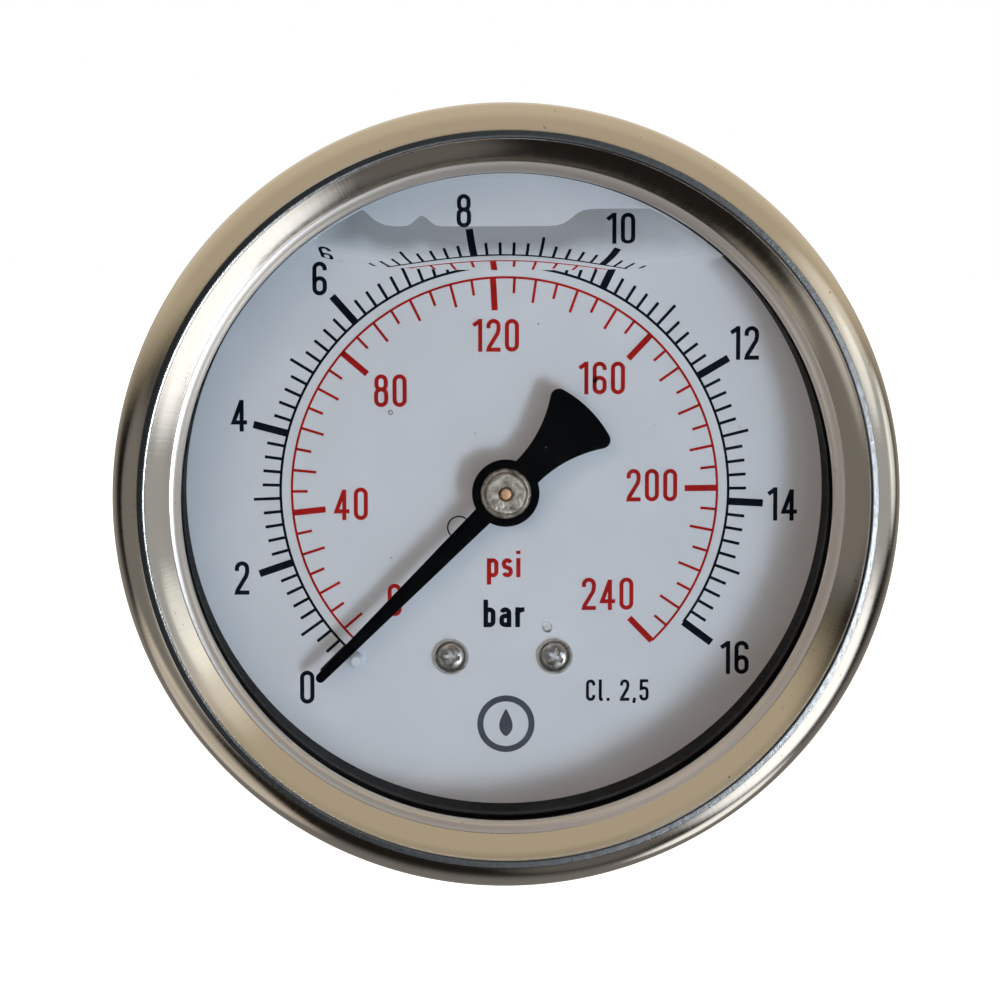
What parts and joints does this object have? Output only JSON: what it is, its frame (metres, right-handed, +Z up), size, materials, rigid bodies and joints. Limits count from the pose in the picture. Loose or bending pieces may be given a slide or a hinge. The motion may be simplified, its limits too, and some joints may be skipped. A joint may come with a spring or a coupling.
{
  "type": "pressure gauge",
  "caption": "Liquid-filled dial pressure gauge with a crimped steel bezel, a black pointer and a threaded back connection.",
  "frame": {"origin": "centre of the flat sealing face at the end of the connection thread, on the dial axis", "axes": "+Y along the dial axis, out of the threaded stem, so the dial faces -Y; +Z up on the dial; +X to the right seen from the front"},
  "size_m": [0.068, 0.0585, 0.068],
  "materials": {
    "case_steel": "satin drawn stainless sheet",
    "bezel_steel": "polished stainless sheet with fine turning marks",
    "clear_window": "clear, polished",
    "black_rubber": "matt moulded rubber",
    "dial_white": "satin white enamel",
    "dial_print_black": "screen-printed ink",
    "dial_print_red": "screen-printed ink",
    "pale_plastic": "smooth",
    "nickel": "turned, slightly rough",
    "screw_steel": "plain stainless screw",
    "brass": "machined",
    "copper_alloy": "drawn copper alloy",
    "pointer_black": "satin black enamel",
    "glycerine": "clear liquid"
  },
  "bodies": {
    "root": {"case": "case_steel", "bezel_ring": "bezel_steel", "window": "clear_window", "window_gasket": "black_rubber", "vent_plug": "black_rubber", "dial": "dial_white", "stop_pin": "pale_plastic", "dial_screw_left": "nickel", "dial_screw_right": "nickel", "socket": "brass", "restrictor_screw": "nickel", "case_o_ring": "black_rubber", "case_screw_left": "screw_steel", "case_screw_right": "screw_steel", "movement_back_plate": "brass", "movement_front_plate": "brass", "hairspring": "copper_alloy", "hairspring_stud": "brass", "movement_pillar_left": "brass", "movement_pillar_right": "brass", "plate_screw_left": "nickel", "plate_screw_right": "nickel", "mount_screw_left": "nickel", "mount_screw_right": "nickel"},
    "pointer": {"pinion_arbor": "copper_alloy", "hairspring_collet": "brass", "pointer_hub": "nickel", "pointer": "pointer_black"},
    "sector": {"sector_gear": "brass", "sector_arbor": "nickel", "sector_link_pin": "nickel"},
    "tube": {"bourdon_tube": "copper_alloy", "tube_end_piece": "brass", "tube_link_pin": "nickel"},
    "link": {"link": "brass"}
  },
  "joints": [
    {"name": "pointer_turn", "type": "hinge", "parent": "root", "child": "pointer", "pos_m": [0, -0.0465, 0], "axis": [0, 1, 0], "range_deg": [0, 270]},
    {"name": "sector_swing", "type": "hinge", "parent": "root", "child": "sector", "pos_m": [0.0111, -0.0374, -0.00721], "axis": [0, 1, 0], "range_deg": [-27, 0]},
    {"name": "tube_flex", "type": "hinge", "parent": "root", "child": "tube", "pos_m": [-0.00646, -0.0305, -0.02103], "axis": [0, 1, 0], "range_deg": [-4.75, 0], "stiffness_Nm_per_rad": 0.5},
    {"name": "link_turn", "type": "hinge", "parent": "tube", "child": "link", "pos_m": [0.01814, -0.0391, -0.01298], "axis": [0, 1, 0], "range_deg": [0, 4.75]}
  ],
  "couplings": [
    {"joint": "link_turn", "follows": "tube_flex", "ratio": -1},
    {"joint": "sector_swing", "follows": "tube_flex", "ratio": 5.6783},
    {"joint": "pointer_turn", "follows": "tube_flex", "ratio": -56.783}
  ]
}
